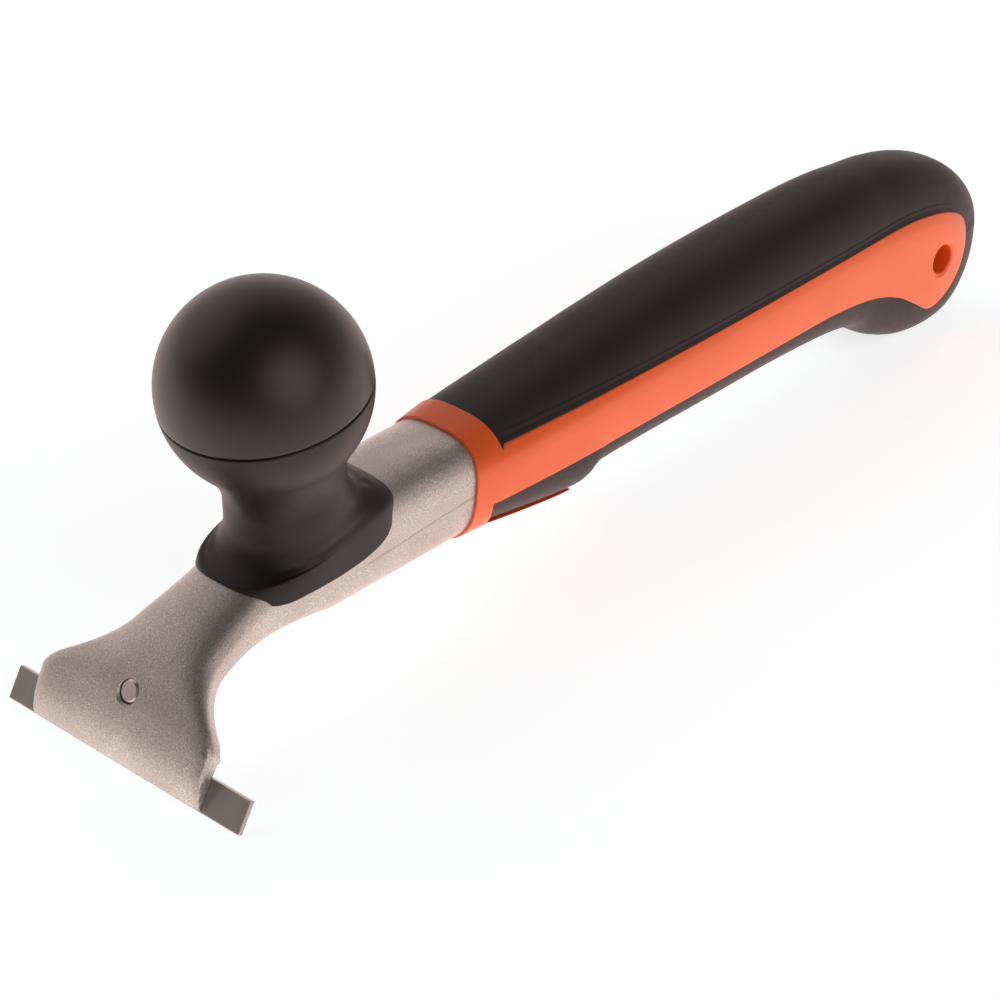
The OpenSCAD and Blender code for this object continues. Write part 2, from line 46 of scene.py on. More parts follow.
# Sizes, as in the part's source; only LIP_DOWN, the blade's ends and the hanging hole differ
BLADE_LEAN = radians(31)
EDGE_OUT, BLADE_T, BLADE_H, BLADE_GAP = 1.2, 1.4, 6.9, 0.04
PLATE_W, PLATE_T, PLATE_H, SEAT_H, SEAT_ROOM = 46.8, 3.8, 10.2, 17.6, 14.0
RIB_T, RIB_W, RIB_HALF = 0.9, 1.9, 19.5
LIP_DOWN = 0.8
BLADE_W, BLADE_SHIFT, EDGE_BEVEL, END_NIP = 65.0, 1.2, 0.2, 0.22
NECK_W, NECK_X = 21.2, 51.4
BAR_W, BAR_MID, BAR_UP, BAR_DOWN = 23.8, 25.2, 10.9, 12.5
SHOULDER_X, SHOULDER_LEAN = 87.4, 6.0
TANG_W, TANG_H, TANG_L = 14.0, 11.0, 92.0
SEAT_SIDE = PLATE_H - 1.6
CLAMP_W, CLAMP_SIDE, CLAMP_TOP, CLAMP_T, POCKET = 39.0, 7.6, 17.0, 2.5, 0.5
CLAMP_HIGH = SEAT_H - 0.15
SCREW_R, SCREW_PITCH, SCREW_S = 2.5, 0.8, 13.2
SCREW_HEAD_R, SCREW_HEAD_H, SCREW_HEX = 4.0, 3.0, 3.0
# depth of a metric thread, as a share of its pitch
THREAD_DEPTH = 0.6134
BALL_R, BALL_X, BALL_Z, KNOB_LEAN = 21.0, 42.3, 65.4, 10.4
WAIST_R, WAIST_DROP, SEAM_DROP, KNOB_WALL = 12.3, 23.8, 1.2, 2.6
WELL_R, WELL_TOP, WELL_FLOOR, KNOB_BOLT_R = 6.7, 12.6, 19.0, 3.3
SADDLE_L, SADDLE_W, SADDLE_LOW, SADDLE_GAP = 40.0, 26.0, 25.5, 0.25
REAR_X, GRIP_HALF, COLLAR_PROUD = 264.4, 14.2, 0.5
PANEL_LOW, PANEL_HIGH = 21.7, 33.5
TOP_GRIP_X, LOW_GRIP_X, GUARD_X = 95.4, 91.8, 123.4
GRIP_STEP = 0.5
HANG_R, HANG_BACK, HANG_Z, HANG_RIM = 3.4, 22.5, 19.3, 0.6

# share of the plate's height, and of its thickness there
ROLL = [[0, 0.2], [0.05, 0.38], [0.12, 0.54], [0.22, 0.7], [0.4, 0.87], [0.65, 0.97], [0.94, 1]]
# the seat frame's origin in the side view, where the plate's inner face ends
LIP = (EDGE_OUT * sin(BLADE_LEAN), EDGE_OUT * cos(BLADE_LEAN) + BLADE_T * sin(BLADE_LEAN))
# how far the casting's loft starts from the seat's face
SEAT_SKIN = 0.2


def on_seat(d, s):
    """Side view's point d behind the seat and s up along the front plate."""
    return np.array([LIP[0] + d * cos(BLADE_LEAN) + s * sin(BLADE_LEAN),
                     LIP[1] - d * sin(BLADE_LEAN) + s * cos(BLADE_LEAN)])


MID = (min(on_seat(-r[1] * PLATE_T, r[0] * PLATE_H)[0] for r in ROLL) + REAR_X) / 2


# Curves and sections
def through(a, b, c, d, u):
    """Catmull-Rom curve between b and c."""
    return (2 * b + (c - a) * u + (2 * a - 5 * b + 4 * c - d) * u ** 2
            + (3 * b - a - 3 * c + d) * u ** 3) / 2


def smooth(rows, steps):
    """Rows joined by curves, with steps points to each."""
    rows = np.array(rows, float)
    last = len(rows) - 1
    out = [through(rows[max(i - 1, 0)], rows[i], rows[i + 1], rows[min(i + 2, last)], k / steps)
           for i in range(last) for k in range(steps)]
    return out + [rows[last]]


def along(values, t):
    """Curve through evenly spaced values, at t from 0 to 1."""
    last = len(values) - 1
    s = min(t * last, last - 0.0001)
    i = int(s)
    v = values
    return through(v[max(i - 1, 0)], v[i], v[i + 1], v[min(i + 2, last)], s - i)


def section(upper, up, down, square_up, square_down, lower=None, count=144):
    """Superellipse whose points are evenly spaced in each quarter; lower is the lower half's
    own half width."""
    out = []
    for quarter in range(4):
        half = upper if quarter < 2 or lower is None else lower
        a = np.linspace(quarter * pi / 2, (quarter + 1) * pi / 2, 400)
        height, e = (up, square_up) if quarter < 2 else (down, square_down)
        y = half * np.sign(np.cos(a)) * np.abs(np.cos(a)) ** (2 / e)
        z = height * np.sign(np.sin(a)) * np.abs(np.sin(a)) ** (2 / e)
        ends = {0: ((half, 0), (0, height)), 1: ((0, height), (-half, 0)),
                2: ((-half, 0), (0, -height)), 3: ((0, -height), (half, 0))}[quarter]
        y[0], z[0] = ends[0]
        y[-1], z[-1] = ends[1]
        run = np.concatenate([[0], np.cumsum(np.hypot(np.diff(y), np.diff(z)))])
        even = np.linspace(0, run[-1], count // 4 + 1)[:-1]
        out.append(np.stack([np.interp(even, run, y), np.interp(even, run, z)], 1))
    return np.concatenate(out)


def stand(shape, x, z, lean=0.0):
    """The section stood at x and z, its top leaning to the front by lean degrees."""
    s, c = sin(radians(lean)), cos(radians(lean))
    return np.stack([x - shape[:, 1] * s, shape[:, 0], z + shape[:, 1] * c], 1)


# Meshes
def piece(name, points, faces):
    """Closed mesh of points in millimetres of the tool frame."""
    mesh = bpy.data.meshes.new(name)
    mesh.from_pydata([((p[0] - MID) * MM, p[1] * MM, p[2] * MM) for p in points], [],
                     [tuple(int(i) for i in f) for f in faces])
    mesh.validate()
    ob = bpy.data.objects.new(name, mesh)
    bpy.context.scene.collection.objects.link(ob)
    bm = bmesh.new()
    bm.from_mesh(mesh)
    bmesh.ops.recalc_face_normals(bm, faces=bm.faces)
    bm.to_mesh(mesh)
    bm.free()
    return ob


def skin_faces(rows, count):
    """Quads between rows of count points, with one face at each end."""
    faces = []
    for j in range(rows - 1):
        for i in range(count):
            k = (i + 1) % count
            faces.append((j * count + i, (j + 1) * count + i, (j + 1) * count + k, j * count + k))
    faces.append(tuple(range(count)))
    faces.append(tuple((rows - 1) * count + i for i in reversed(range(count))))
    return faces


def loft(name, rings):
    return piece(name, np.concatenate(rings), skin_faces(len(rings), len(rings[0])))


ON_AXIS = 1e-6


def revolve(name, profile, place=lambda p: p, count=128):
    """Profile of (radius, height) about the axis; its two ends are on the axis or it is a loop."""
    points, faces, start = [], [], []

    def corner(j, i):
        return start[j] + (i if profile[j][0] > ON_AXIS else 0)

    for r, h in profile:
        start.append(len(points))
        if r < ON_AXIS:
            points.append((0, 0, h))
        else:
            points += [(r * cos(2 * pi * i / count), r * sin(2 * pi * i / count), h)
                       for i in range(count)]
    pairs = [(j, j + 1) for j in range(len(profile) - 1)]
    if profile[0][0] > ON_AXIS and profile[-1][0] > ON_AXIS:
        pairs.append((len(profile) - 1, 0))
    for a, b in pairs:
        for i in range(count):
            k = (i + 1) % count
            face = tuple(dict.fromkeys((corner(a, i), corner(a, k), corner(b, k), corner(b, i))))
            if len(face) > 2:
                faces.append(face)
    return piece(name, [place(p) for p in points], faces)


def prism(name, near, far):
    """Solid between two outlines with the same number of points."""
    n = len(near)
    faces = [tuple(range(n)), tuple(reversed(range(n, 2 * n)))]
    faces += [(i, i + n, (i + 1) % n + n, (i + 1) % n) for i in range(n)]
    return piece(name, near + far, faces)


def extrude_side(name, outline, half):
    """Outline in the side view, drawn through from -half to half across the tool."""
    return prism(name, [(x, -half, z) for x, z in outline], [(x, half, z) for x, z in outline])


def cut(ob, tool, how="DIFFERENCE"):
    """Applies a boolean of ob with tool, and drops the tool."""
    mod = ob.modifiers.new("cut", "BOOLEAN")
    mod.operation = how
    mod.object = tool
    mod.solver = "MANIFOLD"
    apply_modifiers(ob)
    bpy.data.objects.remove(tool)
    return ob


def apply_modifiers(ob):
    bpy.context.view_layer.update()
    deps = bpy.context.evaluated_depsgraph_get()
    mesh = bpy.data.meshes.new_from_object(ob.evaluated_get(deps))
    old = ob.data
    ob.modifiers.clear()
    ob.data = mesh
    bpy.data.meshes.remove(old)


def weld(ob, distance=0.02):
    """Joins points closer than distance, so that the booleans leave no slivers."""
    bm = bmesh.new()
    bm.from_mesh(ob.data)
    bmesh.ops.remove_doubles(bm, verts=bm.verts, dist=distance * MM)
    bmesh.ops.dissolve_degenerate(bm, edges=bm.edges, dist=distance * MM / 4)
    bm.to_mesh(ob.data)
    bm.free()


def shade(ob, angle=35):
    """Smooth shading with sharp edges above angle degrees."""
    ob.data.shade_smooth()
    ob.data.set_sharp_from_angle(angle=radians(angle))


# Head casting. The neck's curve has four control points, and the shares say how far the section
# has gone along it from the plate to the neck or from the neck to the bar.
NECK_FROM = on_seat(-SEAT_SKIN, PLATE_H)
NECK_TO = np.array([NECK_X, BAR_MID])
NECK_A = NECK_FROM + 6 * np.array([sin(BLADE_LEAN), cos(BLADE_LEAN)])
NECK_B = NECK_TO - np.array([25, 0])
PLATE_SHARE = [1, 0.85, 0.58, 0.32, 0.14, 0.07, 0.02, 0, 0, 0, 0]
BAR_SHARE = [0, 0, 0, 0, 0, 0, 0, 0, 0.15, 0.65, 1]
CROWN_SHARE = [0, 0.03, 0.07, 0.11, 0.15, 0.18, 0.2, 0.27, 0.5, 0.85, 1]
BELLY_SHARE = [0.045, 0.09, 0.143, 0.203, 0.27, 0.34, 0.42, 0.536, 0.67, 0.82, 1]
PLATE_UP = PLATE_T - SEAT_SKIN


def neck_at(t):
    return ((1 - t) ** 3 * NECK_FROM + 3 * (1 - t) ** 2 * t * NECK_A
            + 3 * (1 - t) * t * t * NECK_B + t ** 3 * NECK_TO)


def neck_dir(t):
    return ((1 - t) ** 2 * (NECK_A - NECK_FROM) + 2 * (1 - t) * t * (NECK_B - NECK_A)
            + t * t * (NECK_TO - NECK_B))


def bar_section(gap):
    """Section of the bar, grown by gap all round."""
    return section(BAR_W / 2 + gap, BAR_UP + gap, BAR_DOWN + gap, 3.1, 2.4)


def head_rings(gap=0.0):
    """Rings from the plate's lower edge over the neck to the bar's shoulder, grown by gap."""
    rings = []
    for up, thick in smooth(ROLL, 3):
        # the plate's thin lip reaches down over the blade
        p = on_seat(-SEAT_SKIN, up * PLATE_H - LIP_DOWN * (1 - up) ** 6)
        rings.append(stand(section(PLATE_W / 2 + gap, thick * PLATE_T - SEAT_SKIN + gap, 1 + gap, 9, 12),
                           p[0], p[1], 90 - degrees(BLADE_LEAN)))
    steps = 70
    for k in range(steps + 1):
        t = k / steps
        p, v = neck_at(t), neck_dir(t)
        half = (NECK_W / 2 + (PLATE_W - NECK_W) / 2 * along(PLATE_SHARE, t)
                + (BAR_W - NECK_W) / 2 * along(BAR_SHARE, t))
        up = PLATE_UP + (BAR_UP - PLATE_UP) * along(CROWN_SHARE, t)
        square_up = 2.3 + 5 * (1 - t) ** 6 + 0.8 * t ** 4
        square_down = 4.6 - 2.2 * t ** 3 + 6 * (1 - t) ** 4
        shape = section(half + gap, up + gap, BAR_DOWN * along(BELLY_SHARE, t) + gap, square_up, square_down)
        rings.append(stand(shape, p[0], p[1], degrees(atan2(v[1], v[0]))))
    for x in np.linspace(NECK_X + 1.5, SHOULDER_X - 4, 24):
        rings.append(stand(bar_section(gap), x, BAR_MID))
    rings.append(stand(bar_section(gap), SHOULDER_X, BAR_MID, -SHOULDER_LEAN))
    return rings


def seat_place(p):
    """Seat frame: x square to the plate, pointing back, z up along it."""
    xz = on_seat(p[0], p[2])
    return (xz[0], p[1], xz[1])


def box_points(lo, hi):
    return [(x, y, z) for x in (lo[0], hi[0]) for y in (lo[1], hi[1]) for z in (lo[2], hi[2])]


BOX_FACES = [(0, 1, 3, 2), (4, 6, 7, 5), (0, 4, 5, 1), (2, 3, 7, 6), (0, 2, 6, 4), (1, 5, 7, 3)]


def seat_box(name, lo, hi):
    return piece(name, [seat_place(p) for p in box_points(lo, hi)], BOX_FACES)


def clamp_half(s):
    """Half width of the clamp plate at s, above its straight ends."""
    return CLAMP_W / 2 - (s - CLAMP_SIDE) * (CLAMP_W - CLAMP_TOP) / 2 / (CLAMP_HIGH - CLAMP_SIDE)


def clamp_pocket():
    """Room for the clamp plate behind the seat."""
    side = [(CLAMP_W / 2 + POCKET, -1), (CLAMP_W / 2 + POCKET, CLAMP_SIDE),
            (clamp_half(SEAT_H) + POCKET, SEAT_H)]
    outline = side + [(-y, s) for y, s in reversed(side)]
    near, far = ([seat_place((d, y, s)) for y, s in outline] for d in (0, SEAT_ROOM))
    return prism("pocket", near, far)


def seat_turned(p):
    """A point revolved about +Z, laid along the clamp screw's axis."""
    return seat_place((p[2], p[1], SCREW_S - p[0]))


def turned_rows(name, rows, count, place):
    """Rows of (height, radii round the axis), with a flat face at both ends."""
    rings = []
    for h, radii in rows:
        a = 2 * pi * np.arange(count) / count
        r = np.broadcast_to(radii, count)
        rings.append(np.array([place(p) for p in np.stack([r * np.cos(a), r * np.sin(a),
                                                           np.full(count, h)], 1)]))
    return loft(name, rings)


def make_blade():
    """Carbide strip with a fine chamfer along its edges and nearly square ends."""
    e, t, h = EDGE_BEVEL, BLADE_T - BLADE_GAP, BLADE_H
    end = BLADE_W / 2
    profile = np.array([(0, e), (0.6 * e, 0), (t, 0), (t, h), (0.6 * e, h), (0, h - e)])
    middle = np.array([t / 2, h / 2])
    rings = []
    for y, shrink in ((-end, END_NIP), (-end + END_NIP, 0), (end - END_NIP, 0), (end, END_NIP)):
        shape = profile - np.sign(profile - middle) * np.array([shrink, shrink * 0.4])
        rings.append(np.array([seat_place((BLADE_GAP + d, y - BLADE_SHIFT, s - EDGE_OUT))
                               for d, s in shape]))
    ob = loft("carbide_strip", rings)
    shade(ob, 20)
    return ob


def make_clamp_screw():
    """M5 socket screw with its thread, a knurled head and a hexagon socket."""
    count, tip = 96, -PLATE_T + 0.4
    crest, deep = SCREW_R - 0.05, THREAD_DEPTH * SCREW_PITCH
    core = crest - deep
    seat = BLADE_T + BLADE_GAP + CLAMP_T
    turn = np.arange(count) / count
    rows = [(tip, core - 0.1), (tip + 0.08, core)]
    for h in np.arange(tip + 0.16, seat - 0.3, SCREW_PITCH / 12):
        groove = np.abs((h / SCREW_PITCH - turn) % 1 - 0.5) * 2
        radii = crest - deep * np.clip((0.88 - groove) / 0.7, 0, 1)
        rows.append((h, np.clip(radii, core - 0.02, core + h - tip)))
    knurl = SCREW_HEAD_R - 0.1 * (np.arange(count) % 3 == 0)
    top = seat + SCREW_HEAD_H
    rows += [(seat - 0.15, crest), (seat, crest), (seat + 0.001, SCREW_HEAD_R - 0.25),
             (seat + 0.2, SCREW_HEAD_R - 0.1), (seat + 0.35, knurl), (top - 0.6, knurl),
             (top - 0.45, SCREW_HEAD_R - 0.1), (top, SCREW_HEAD_R - 0.5)]
    ob = turned_rows("socket_screw", rows, count, seat_turned)
    corner = SCREW_HEX / 2 / cos(radians(30))
    socket = [(top - 2, corner), (top - 0.25, corner), (top + 0.5, corner + 0.6)]
    cut(ob, turned_rows("socket", socket, 6, seat_turned))
    shade(ob, 28)
    return ob


def make_casting():
    ob = loft("casting", head_rings())
    cut(ob, seat_box("seat", (0, -PLATE_W, -8), (SEAT_ROOM, PLATE_W, SEAT_SIDE)))
    cut(ob, clamp_pocket())
    hole = [(0, -15), (SCREW_R + 0.5, -15), (SCREW_R + 0.5, -PLATE_T - 0.02), (SCREW_R, -PLATE_T + 0.5),
            (SCREW_R, 1), (0, 1)]
    cut(ob, revolve("hole", hole, seat_turned, 64))
    rib_low = BLADE_H - EDGE_OUT + BLADE_GAP
    cut(ob, seat_box("rib", (-0.5, -RIB_HALF, rib_low), (RIB_T, RIB_HALF, rib_low + RIB_W)), "UNION")
    tang = [(x, y, z) for x in (SHOULDER_X - 6, SHOULDER_X + TANG_L) for y in (-TANG_W / 2, TANG_W / 2)
            for z in (BAR_MID - TANG_H / 2, BAR_MID + TANG_H / 2)]
    cut(ob, piece("tang", tang, BOX_FACES), "UNION")
    weld(ob)
    shade(ob, 32)
    return ob


# Knob
def knob_place(p):
    """A point of the knob's own frame, whose centre is the ball's."""
    s, c = sin(radians(KNOB_LEAN)), cos(radians(KNOB_LEAN))
    return (BALL_X + p[0] * c - p[2] * s, p[1], BALL_Z + p[0] * s + p[2] * c)


NECK_TOP = 14.2
NECK_TOP_R = sqrt(BALL_R ** 2 - NECK_TOP ** 2)
SADDLE_X = BALL_X + 5.3
WAIST_X = BALL_X + WAIST_DROP * sin(radians(KNOB_LEAN))
WAIST_Z = BALL_Z - WAIST_DROP * cos(radians(KNOB_LEAN))


def knob_rings(count=144):
    """Rings from the seam down the ball, through the throat and out over the saddle."""
    rows = []
    turn = 2 * pi * np.arange(count) / count
    seam = [(BALL_R - 1, -SEAM_DROP), (BALL_R - 0.6, -SEAM_DROP - 0.04),
            (BALL_R - 0.25, -SEAM_DROP - 0.14), (BALL_R - 0.06, -SEAM_DROP - 0.4)]
    ball = [(BALL_R * cos(a), -BALL_R * sin(a)) for a in np.radians(np.arange(5.5, 41, 2))]
    throat = []
    for k in range(17):
        u = k / 16
        throat.append((WAIST_R + (NECK_TOP_R - WAIST_R) * (1 - sin(pi / 2 * u)) ** 1.15,
                       -(NECK_TOP + (WAIST_DROP - NECK_TOP) * u)))
    for r, h in seam + ball + throat[:-1]:
        rows.append(np.array([knob_place((r * sin(a), r * cos(a), h)) for a in turn]))
    # back, down and lean of each ring, its rear, front and half width, and how square it is
    flare = smooth([
        [WAIST_X - SADDLE_X, 0, KNOB_LEAN, WAIST_R, WAIST_R, WAIST_R, 2, 2],
        [-0.8, 3, 11, WAIST_R + 0.4, WAIST_R + 0.1, WAIST_R + 0.12, 2, 2],
        [-0.1, 5.7, 11.7, 0.335 * SADDLE_L, 0.335 * SADDLE_L, WAIST_R + 0.15, 2.2, 2],
        [0.2, 7.4, 13, 0.4 * SADDLE_L, 0.375 * SADDLE_L, WAIST_R + 0.25, 2.6, 2],
        [0.2, 8.6, 12.3, 0.45 * SADDLE_L, 0.408 * SADDLE_L, SADDLE_W / 2 - 0.45, 3.2, 2],
        [0.1, 9.5, 10.5, 0.486 * SADDLE_L, 0.43 * SADDLE_L, SADDLE_W / 2 - 0.2, 4.2, 2],
        [0, 10.4, 9, 0.5 * SADDLE_L, 0.466 * SADDLE_L, SADDLE_W / 2 - 0.05, 5, 2.2],
        [0, 12, 7, 0.505 * SADDLE_L, 0.492 * SADDLE_L, SADDLE_W / 2, 5.5, 2.8],
        [0, 22, 0, 0.505 * SADDLE_L, 0.5 * SADDLE_L, SADDLE_W / 2, 5.5, 3.4]], 7)
    skirt = []
    for x, drop, lean, rear, front, half, square_rear, square_front in flare:
        shape = section(half, rear, front, square_rear, square_front, count=count)
        s, c = sin(radians(lean)), cos(radians(lean))
        skirt.append(np.stack([SADDLE_X + x + shape[:, 1] * c, shape[:, 0],
                               WAIST_Z - drop + shape[:, 1] * s], 1))
    # the two rear corners are softened between the waist and the rim
    skirt = np.array(skirt)
    soft = skirt.copy()
    for _ in range(30):
        soft[1:-1] = (soft[:-2] + 2 * soft[1:-1] + soft[2:]) / 4
    share = np.maximum(np.sin(turn), 0) * np.abs(np.cos(turn)) * 2
    skirt += (soft - skirt) * share[None, :, None]
    return rows + list(skirt)


def saddle_outline():
    """Side view's outline of what the knob's base keeps, over its lower rim."""
    x0, x1 = SADDLE_X - SADDLE_L / 2, SADDLE_X + SADDLE_L / 2
    low = SADDLE_LOW
    curve = smooth([[x0, low + 2.8], [x0 + 1.1, low + 1.7], [x0 + 2.9, low + 0.4], [x0 + 5, low - 0.3],
                    [x0 + 8, low - 0.5], [x0 + 12.5, low - 0.2], [x0 + 20.5, low], [x1 - 14, low + 0.5],
                    [x1 - 11.3, low + 1], [x1 - 7.2, low + 2.2], [x1 - 4.6, low + 4.2],
                    [x1 - 3.4, low + 7.8], [x1 + 1, BAR_MID + BAR_UP + 1]], 10)
    return ([(x0 - 25, 90), (x0 - 25, WAIST_Z), (x0 - 3, WAIST_Z), (x0 - 3, low + 2.8)]
            + [tuple(p) for p in curve] + [(x1 + 1, WAIST_Z), (x1 + 25, WAIST_Z), (x1 + 25, 90)])


def make_knob_base():
    ob = loft("knob_lower", knob_rings())
    cut(ob, extrude_side("flaps", saddle_outline(), 40), "INTERSECT")
    cut(ob, loft("bar_room", head_rings(SADDLE_GAP)))
    wall = BALL_R - KNOB_WALL
    bowl = [(0, 1), (wall, 1)] + [(wall * cos(a), -wall * sin(a)) for a in np.radians(range(4, 41, 6))]
    bowl += [(WELL_R, -WELL_TOP), (WELL_R, -WELL_FLOOR), (KNOB_BOLT_R, -WELL_FLOOR),
             (KNOB_BOLT_R, -39), (0, -39)]
    cut(ob, revolve("bowl", bowl, knob_place, 96))
    weld(ob)
    shade(ob, 38)
    return ob


def make_knob_cap():
    outer = [(0, BALL_R)] + [(BALL_R * sin(a), BALL_R * cos(a)) for a in np.radians(np.arange(2, 90.1, 2))]
    outer += [(BALL_R, -SEAM_DROP + 0.6), (BALL_R - 0.06, -SEAM_DROP + 0.35),
              (BALL_R - 0.25, -SEAM_DROP + 0.12), (BALL_R - 0.6, -SEAM_DROP + 0.03),
              (BALL_R - 1, -SEAM_DROP)]
    lip = BALL_R - KNOB_WALL - 0.5
    inner = [(lip, -SEAM_DROP), (lip, -SEAM_DROP - 3), (lip - KNOB_WALL + 0.5, -SEAM_DROP - 3)]
    wall = BALL_R - KNOB_WALL
    inner += [((wall - 1.2) * cos(a), wall * sin(a)) for a in np.radians(range(6, 90, 6))] + [(0, wall)]
    ob = revolve("knob_dome", outer + inner, knob_place, 160)
    shade(ob, 40)
    return ob


# Handle. Each row has x, half width, top, low and middle height, how square the section is above
# and below, and how much of the grip's step the upper half takes.
HANDLE_ROWS = [
    [94.4, 13.2, 37.7, 12.4, 25.7, 2.8, 2.6, 0.3],
    [105, 13.7, 38.9, 10.9, 25.7, 2.7, 2.7, 0.2],
    [117, GRIP_HALF - 0.1, 40.1, 9.2, 25.7, 2.7, 2.7, 0.2],
    [GUARD_X - 1, GRIP_HALF, 40.7, 8.8, 25.7, 2.7, 2.6, 0.2],
    [GUARD_X + 1.6, GRIP_HALF, 40.9, 11, 26, 2.7, 2.7, 0.2],
    [GUARD_X + 4.6, GRIP_HALF, 41.2, 11.9, 26.2, 2.7, 2.7, 0.2],
    [143, GRIP_HALF + 0.1, 42.8, 12.1, 26.7, 2.7, 2.7, 0.2],
    [163, GRIP_HALF + 0.2, 44.4, 11.8, 27.2, 2.7, 2.7, 0.2],
    [185, GRIP_HALF + 0.2, 45.3, 11.7, 27.2, 2.7, 2.7, 0.2],
    [REAR_X - 59, GRIP_HALF + 0.1, 45.6, 10.6, 26.7, 2.7, 2.8, 0.2],
    [REAR_X - 48, GRIP_HALF, 45.5, 8.2, 25.7, 2.6, 3, 0.2],
    [REAR_X - 40, GRIP_HALF - 0.1, 44.9, 3, 24.7, 2.5, 3.2, 0.3],
    [REAR_X - 31, GRIP_HALF - 0.2, 43.8, -0.1, 23, 2.6, 3.6, 0.5],
    [REAR_X - 21, GRIP_HALF - 0.6, 41.5, -0.35, 22, 2.6, 4.2, 0.8],
    [REAR_X - 12, GRIP_HALF - 1.8, 37.6, 0.1, 21, 2.6, 3.3, 1],
    [REAR_X - 5, GRIP_HALF - 4.3, 31.8, 3.5, 20, 2.4, 2.5, 1],
    [REAR_X - 1, GRIP_HALF - 8.6, 26, 8.6, 19, 2.2, 2.1, 1],
    [REAR_X, GRIP_HALF - 12, 21.6, 14.2, 18.6, 2, 2, 1]]


def handle_rings(inset=0.0, soft=0.0):
    """Rings of the handle's skin, drawn in by inset and rounder by soft."""
    proud = COLLAR_PROUD - inset
    rings = [stand(section(BAR_W / 2 + proud, BAR_UP + proud, BAR_DOWN + proud, 3.1, 2.4),
                   SHOULDER_X, BAR_MID, -SHOULDER_LEAN)]
    for x, half, top, low, mid, square_up, square_down, share in smooth(HANDLE_ROWS, 10):
        rings.append(stand(section(half - share * inset, top - mid - share * inset, mid - low - inset,
                                   square_up - soft, square_down - soft, half - inset), x, mid))
    return rings


def panel_rear():
    """Rounded end of the side panel, from its upper edge round to its lower one."""
    return smooth([
        [REAR_X - 62, PANEL_HIGH + 0.4], [REAR_X - 52, PANEL_HIGH + 0.4], [REAR_X - 42, PANEL_HIGH + 0.2],
        [REAR_X - 32, PANEL_HIGH - 0.5], [REAR_X - 22, PANEL_HIGH - 2.6], [REAR_X - 15, 27.2],
        [REAR_X - 12.6, 21.2], [REAR_X - 14.4, 14.7], [REAR_X - 19.6, 9.9], [REAR_X - 26.2, 8],
        [REAR_X - 32, 11.4], [REAR_X - 39, 16], [REAR_X - 47, 19.2], [REAR_X - 56, PANEL_LOW - 0.8],
        [REAR_X - 66, PANEL_LOW]], 8)


def panel_outline():
    """Side view's outline of the collar, the side panels and the finger guard."""
    return ([(SHOULDER_X - 8, 60), (TOP_GRIP_X - 1.2, 60), (TOP_GRIP_X - 0.2, PANEL_HIGH - 1),
             (TOP_GRIP_X + 1, PANEL_HIGH)] + [tuple(p) for p in panel_rear()]
            + [(LOW_GRIP_X, PANEL_LOW), (LOW_GRIP_X + 0.2, 16.6), (LOW_GRIP_X + 3, 14.9),
               (GUARD_X - 3, 10.2), (GUARD_X - 0.6, 8.9), (GUARD_X - 1.6, -5), (SHOULDER_X - 8, -5)])


def make_core():
    ob = loft("handle_shell", handle_rings())
    cut(ob, extrude_side("panel", panel_outline(), 40), "INTERSECT")
    face = GRIP_HALF - 0.75 - HANG_RIM

    def across(p):
        return (REAR_X - HANG_BACK + p[0], -p[2], HANG_Z + p[1])

    rim = [(HANG_R + HANG_RIM * (1 - cos(a)), face + HANG_RIM * sin(a))
           for a in np.radians(range(0, 91, 9))]
    side = rim + [(HANG_R + HANG_RIM + 3, face + HANG_RIM + 2.5), (0, face + HANG_RIM + 2.5)]
    profile = [(r, -h) for r, h in reversed(side)] + side
    cut(ob, revolve("hang", profile, across, 96))
    weld(ob)
    shade(ob, 35)
    return ob


def make_grip():
    ob = loft("handle_grip", handle_rings(GRIP_STEP, 0.15))
    cut(ob, extrude_side("panel", panel_outline(), 40))
    weld(ob)
    shade(ob, 35)
    return ob


casting = make_casting()
knob_lower = make_knob_base()
knob_dome = make_knob_cap()
shell = make_core()
grip = make_grip()
screw = make_clamp_screw()
strip = make_blade()

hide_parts("head_casting")
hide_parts("knob_base")
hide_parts("knob_cap")
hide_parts("handle_core")
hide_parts("grip_overmould")
for ob, slot in ((casting, "casting"), (knob_lower, "knob"), (knob_dome, "knob"),
                 (shell, "core"), (grip, "grip")):
    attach(ob, "tool")
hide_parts("clamp_screw")
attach(screw, "clamp_screw")
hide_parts("blade")
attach(strip, "blade")


# Materials
class Nodes:
    """Short calls for one node tree. A value is another node's socket or a constant."""

    def __init__(self, tree):
        self.tree = tree

    def put(self, socket, value):
        if isinstance(value, bpy.types.NodeSocket):
            self.tree.links.new(value, socket)
        else:
            socket.default_value = value

    def node(self, kind, **inputs):
        made = self.tree.nodes.new(kind)
        for key, value in inputs.items():
            self.put(made.inputs[key.replace("_", " ")], value)
        return made

    def calc(self, how, *values, kind="ShaderNodeMath"):
        made = self.tree.nodes.new(kind)
        made.operation = how
        for socket, value in zip(made.inputs, values):
            self.put(socket, value)
        return made.outputs["Value"]

    def vectors(self, how, a, b):
        """The number that a vector operation gives, such as DISTANCE."""
        return self.calc(how, a, b, kind="ShaderNodeVectorMath")

    def ramp(self, value, *stops):
        """Stops of (place, colour), where a number stands for a grey."""
        made = self.node("ShaderNodeValToRGB", Fac=value)
        elements = made.color_ramp.elements
        while len(elements) < len(stops):
            elements.new(0.5)
        for element, (place, colour) in zip(elements, stops):
            element.position = place
            element.color = (*colour, 1) if isinstance(colour, tuple) else (colour, colour, colour, 1)
        return made.outputs["Color"]

    def by_camera(self, other, seen):
        """The shader seen for the camera's own rays, and other for all the rest."""
        path = self.node("ShaderNodeLightPath")
        mix = self.node("ShaderNodeMixShader", Fac=path.outputs["Is Camera Ray"])
        self.put(mix.inputs[1], other)
        self.put(mix.inputs[2], seen)
        return mix.outputs[0]


